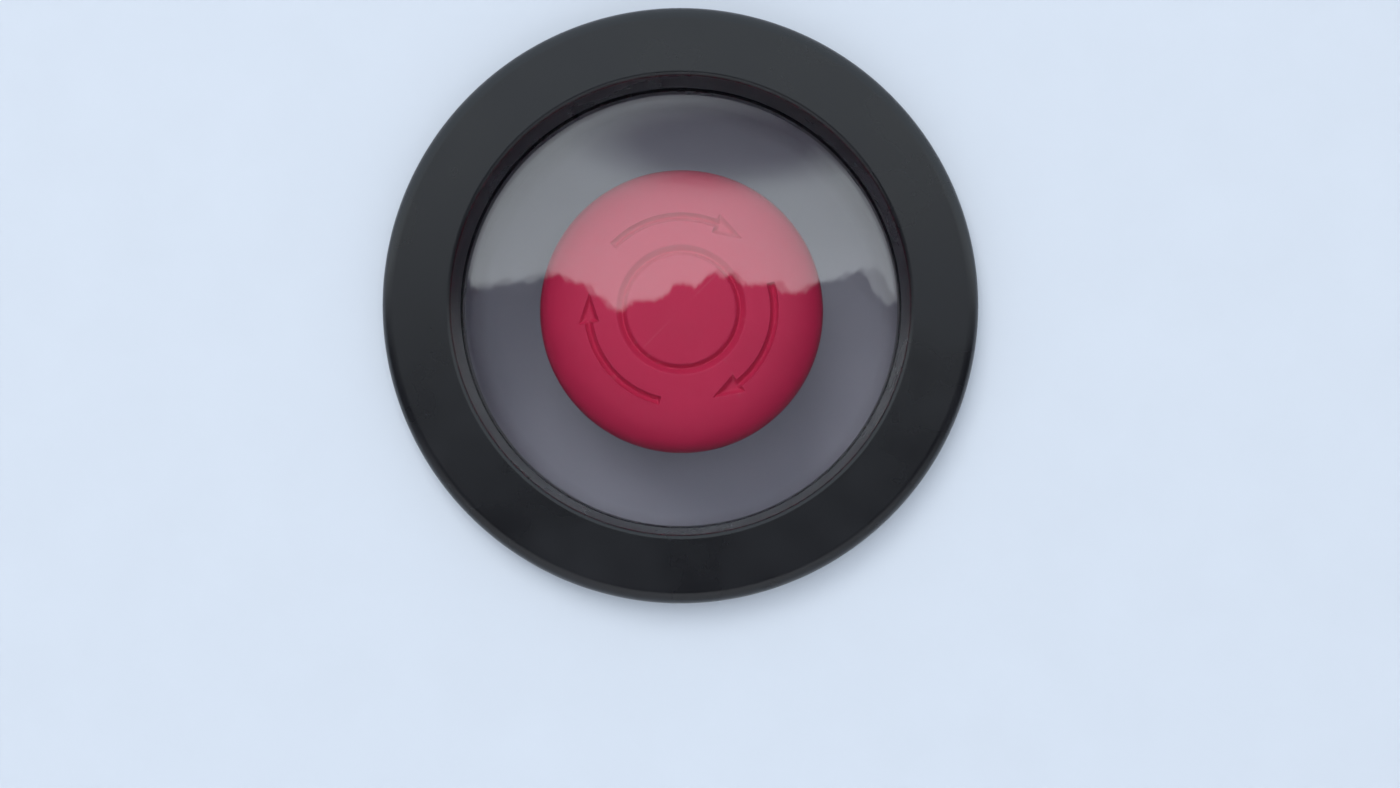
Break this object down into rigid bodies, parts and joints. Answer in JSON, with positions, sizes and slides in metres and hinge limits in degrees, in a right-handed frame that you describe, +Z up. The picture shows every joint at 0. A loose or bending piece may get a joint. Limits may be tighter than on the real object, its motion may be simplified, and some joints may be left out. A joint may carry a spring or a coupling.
{
  "type": "emergency call button",
  "caption": "Recessed emergency call button: red twist-release mushroom head behind a clear pane in a black rubber surround.",
  "frame": {"origin": "centre of the round panel hole, in the plane of the panel's outer face", "axes": "-Y is the front, where the head is pushed from; +Y runs into the panel along the button's axis; +Z is up"},
  "size_m": [0.08, 0.0868, 0.08],
  "materials": {
    "black_rubber": "satin moulded",
    "clear_plastic": "clear, slightly hazed",
    "grey_plastic": "matte moulded",
    "red_plastic": "satin moulded",
    "black_plastic": "matte moulded",
    "white_plastic": "matte moulded",
    "steel": "zinc plated",
    "brass": "bright"
  },
  "bodies": {
    "housing": {"cup": "grey_plastic", "panel_gasket": "black_rubber", "ring_nut": "black_plastic", "operator_barrel": "black_plastic", "bezel_gasket": "black_rubber", "stem_seal": "black_rubber", "lock_washer": "steel", "barrel_nut": "black_plastic", "return_spring": "steel", "contact_carrier": "white_plastic", "clamp_screw_1": "steel", "clamp_screw_2": "steel", "contact_housing_1": "black_plastic", "contact_cover_1": "grey_plastic", "contact_spring_1": "steel", "terminal_1a": "brass", "terminal_1b": "brass", "terminal_screw_1a": "steel", "terminal_screw_1b": "steel", "contact_housing_2": "black_plastic", "contact_cover_2": "grey_plastic", "contact_spring_2": "steel", "terminal_2a": "brass", "terminal_2b": "brass", "terminal_screw_2a": "steel", "terminal_screw_2b": "steel"},
    "window": {"surround": "black_rubber", "pane": "clear_plastic"},
    "plunger": {"push_sleeve": "black_plastic", "sleeve_cap": "black_plastic", "twist_spring": "steel"},
    "head": {"mushroom_head": "red_plastic", "release_cam": "white_plastic"},
    "contact_slide_1": {"contact_pusher_1": "red_plastic", "contact_bridge_1": "brass"},
    "contact_slide_2": {"contact_pusher_2": "red_plastic", "contact_bridge_2": "brass"}
  },
  "joints": [
    {"name": "window_pull", "type": "slide", "parent": "housing", "child": "window", "axis": [0, -1, 0], "range_m": [0, 0.04]},
    {"name": "head_push", "type": "slide", "parent": "housing", "child": "plunger", "axis": [0, 1, 0], "range_m": [0, 0.0055], "deforming": ["return_spring"]},
    {"name": "head_twist", "type": "hinge", "parent": "plunger", "child": "head", "pos_m": [0, 0.02, 0], "axis": [0, 1, 0], "range_deg": [0, 45], "stiffness_Nm_per_rad": 0.02, "deforming": ["twist_spring"]},
    {"name": "contact_push_1", "type": "slide", "parent": "housing", "child": "contact_slide_1", "axis": [0, 1, 0], "range_m": [0, 0.0055], "deforming": ["contact_spring_1"]},
    {"name": "contact_push_2", "type": "slide", "parent": "housing", "child": "contact_slide_2", "axis": [0, 1, 0], "range_m": [0, 0.0055], "deforming": ["contact_spring_2"]}
  ],
  "couplings": [
    {"joint": "contact_push_1", "follows": "head_push", "ratio": 1},
    {"joint": "contact_push_2", "follows": "head_push", "ratio": 1}
  ]
}
